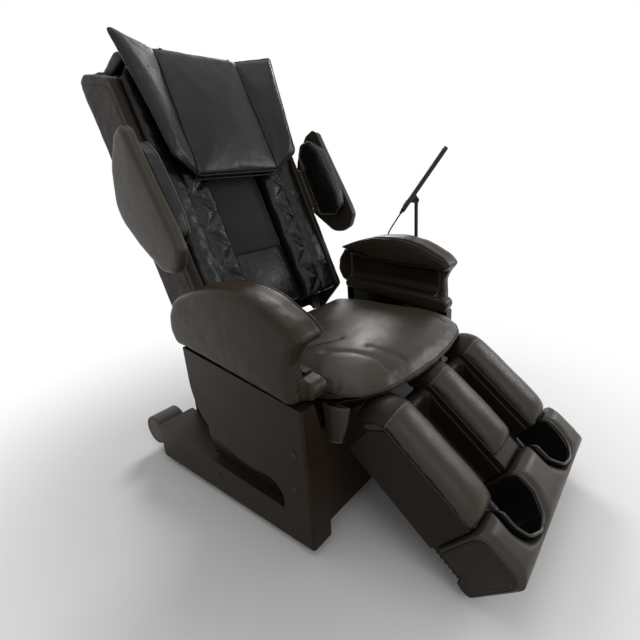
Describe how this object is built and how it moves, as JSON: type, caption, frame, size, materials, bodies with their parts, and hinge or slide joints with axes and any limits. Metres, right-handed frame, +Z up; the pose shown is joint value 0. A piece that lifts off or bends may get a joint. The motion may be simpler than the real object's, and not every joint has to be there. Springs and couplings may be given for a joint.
{
  "type": "massage chair",
  "caption": "Reclining massage chair with padded armrests, shoulder supports, head pillow, swinging leg rest with foot wells and a side controller.",
  "frame": {"origin": "on the floor, at the centre of the chair base", "axes": "+X to the sitter's left, -Y to the front, +Z up"},
  "size_m": [0.9285, 1.276, 1.2481],
  "materials": {
    "frame_steel": "satin black paint",
    "bright_steel": "ground",
    "brown_leather": "soft sheen, grained",
    "black_leather": "soft sheen, grained",
    "strip_cloth": "matt knit",
    "dark_plastic": "fine grain",
    "black_plastic": "satin",
    "screen_glass": "dark gloss",
    "black_rubber": "matt",
    "button_plastic": "gloss",
    "stop_plastic": "gloss"
  },
  "bodies": {
    "base": {"base_frame": "frame_steel", "floor_glides": "black_rubber", "inner_side_shells": "black_plastic", "front_fascia": "dark_plastic", "rear_base_cover": "dark_plastic", "power_panel": "black_plastic", "side_screw_caps": "dark_plastic", "legrest_motor": "black_plastic", "recline_motor": "black_plastic", "air_supply": "black_plastic", "control_box": "black_plastic", "roller_axles": "bright_steel", "seat_pan": "brown_leather", "seat_cushion": "brown_leather", "lower_side_cover_left": "dark_plastic", "lower_side_cover_right": "dark_plastic", "upper_side_panel_left": "dark_plastic", "upper_side_panel_right": "dark_plastic", "armrest_shell_left": "brown_leather", "armrest_shell_right": "brown_leather", "armrest_lower_pad_left": "brown_leather", "armrest_lower_pad_right": "brown_leather", "controller_bracket": "frame_steel"},
    "rocker_switch": {"power_switch": "black_plastic"},
    "recline_actuator": {"recline_rod": "bright_steel"},
    "legrest_actuator": {"legrest_rod": "bright_steel"},
    "roller_left": {"transport_roller_left": "black_rubber"},
    "roller_right": {"transport_roller_right": "black_rubber"},
    "controller_stand": {"controller_post": "frame_steel", "controller_cable": "black_rubber"},
    "controller_head": {"controller_housing": "black_plastic", "controller_screen": "screen_glass", "cable_relief": "black_rubber"},
    "tilt_knob": {"controller_knob": "black_plastic"},
    "button_power": {"power_button": "button_plastic"},
    "button_stop": {"stop_button": "stop_plastic"},
    "back": {"back_frame": "frame_steel", "back_rear_shell": "brown_leather", "back_side_pad_left": "black_leather", "back_side_pad_right": "black_leather", "back_centre_pad": "strip_cloth", "back_lumbar_pad": "black_leather", "carriage_screw": "bright_steel", "shoulder_support_left": "brown_leather", "shoulder_support_right": "brown_leather", "shoulder_support_pads": "brown_leather"},
    "pillow": {"head_pillow": "black_leather"},
    "carriage": {"carriage_chassis": "frame_steel"},
    "massage_arm_left": {"roller_arm_left": "frame_steel"},
    "massage_arm_right": {"roller_arm_right": "frame_steel"},
    "massage_wheel_left": {"massage_roller_left": "black_rubber"},
    "massage_wheel_right": {"massage_roller_right": "black_rubber"},
    "legrest": {"legrest_frame": "frame_steel", "legrest_outer_pads": "brown_leather", "legrest_centre_pad": "brown_leather"},
    "footrest": {"foot_box": "brown_leather", "foot_well_liners": "black_plastic", "foot_side_panels": "brown_leather", "bumper_feet": "black_rubber", "foot_bellows": "black_rubber"}
  },
  "joints": [
    {"name": "recline", "type": "hinge", "parent": "base", "child": "back", "pos_m": [0, 0.153, 0.39], "axis": [-1, 0, 0], "range_deg": [0, 48]},
    {"name": "recline_rod_slide", "type": "slide", "parent": "base", "child": "recline_actuator", "axis": [0, -1, 0], "range_m": [0, 0.08948]},
    {"name": "legrest_swing", "type": "hinge", "parent": "base", "child": "legrest", "pos_m": [0, -0.43, 0.305], "axis": [-1, 0, 0], "range_deg": [0, 42]},
    {"name": "legrest_rod_slide", "type": "slide", "parent": "base", "child": "legrest_actuator", "axis": [0, -1, 0], "range_m": [0, 0.08457]},
    {"name": "foot_slide", "type": "slide", "parent": "legrest", "child": "footrest", "axis": [0, -0.766, -0.6428], "range_m": [0, 0.09], "deforming": ["foot_bellows"]},
    {"name": "pillow_flip", "type": "hinge", "parent": "back", "child": "pillow", "pos_m": [0, 0.35097, 1.21288], "axis": [-1, 0, 0], "range_deg": [0, 120]},
    {"name": "carriage_travel", "type": "slide", "parent": "back", "child": "carriage", "axis": [0, 0.3827, 0.9239], "range_m": [0, 0.5]},
    {"name": "massage_arm_left_swing", "type": "hinge", "parent": "carriage", "child": "massage_arm_left", "pos_m": [0.045, 0.20875, 0.5455], "axis": [0, 0.9239, -0.3827], "range_deg": [-12, 12]},
    {"name": "massage_arm_right_swing", "type": "hinge", "parent": "carriage", "child": "massage_arm_right", "pos_m": [-0.045, 0.20875, 0.5455], "axis": [0, 0.9239, -0.3827], "range_deg": [-12, 12]},
    {"name": "massage_wheel_left_spin", "type": "hinge", "parent": "massage_arm_left", "child": "massage_wheel_left", "pos_m": [0.0673, 0.20756, 0.60011], "axis": [1, 0, 0], "continuous": true},
    {"name": "massage_wheel_right_spin", "type": "hinge", "parent": "massage_arm_right", "child": "massage_wheel_right", "pos_m": [-0.0673, 0.20756, 0.60011], "axis": [1, 0, 0], "continuous": true},
    {"name": "roller_left_spin", "type": "hinge", "parent": "base", "child": "roller_left", "pos_m": [0.3215, 0.385, 0.082], "axis": [1, 0, 0], "continuous": true},
    {"name": "roller_right_spin", "type": "hinge", "parent": "base", "child": "roller_right", "pos_m": [-0.3215, 0.385, 0.082], "axis": [1, 0, 0], "continuous": true},
    {"name": "controller_swivel", "type": "hinge", "parent": "base", "child": "controller_stand", "pos_m": [0.426, -0.164, 0.5], "axis": [0, 0, 1], "range_deg": [-40, 10]},
    {"name": "controller_tilt", "type": "hinge", "parent": "controller_stand", "child": "controller_head", "pos_m": [0.426, -0.164, 0.745], "axis": [0.8988, 0.4384, 0], "range_deg": [-30, 20], "deforming": ["controller_cable"]},
    {"name": "tilt_knob_turn", "type": "hinge", "parent": "controller_head", "child": "tilt_knob", "pos_m": [0.426, -0.164, 0.745], "axis": [0.8988, 0.4384, 0], "range_deg": [0, 90]},
    {"name": "power_switch_rock", "type": "hinge", "parent": "base", "child": "rocker_switch", "pos_m": [-0.1337, 0.294, 0.1153], "axis": [-1, 0, 0], "range_deg": [0, 14]},
    {"name": "power_button_press", "type": "slide", "parent": "controller_head", "child": "button_power", "axis": [0.3546, -0.7271, -0.5878], "range_m": [0, 0.0015], "stiffness_N_per_m": 600, "springref_m": -0.0008},
    {"name": "stop_button_press", "type": "slide", "parent": "controller_head", "child": "button_stop", "axis": [0.3546, -0.7271, -0.5878], "range_m": [0, 0.0015], "stiffness_N_per_m": 600, "springref_m": -0.0008}
  ],
  "couplings": [
    {"joint": "recline_rod_slide", "follows": "recline", "m_per_rad": 0.10681},
    {"joint": "legrest_rod_slide", "follows": "legrest_swing", "m_per_rad": 0.11538},
    {"joint": "foot_slide", "follows": "legrest_swing", "m_per_rad": 0.12278},
    {"joint": "massage_arm_right_swing", "follows": "massage_arm_left_swing", "ratio": -1}
  ]
}
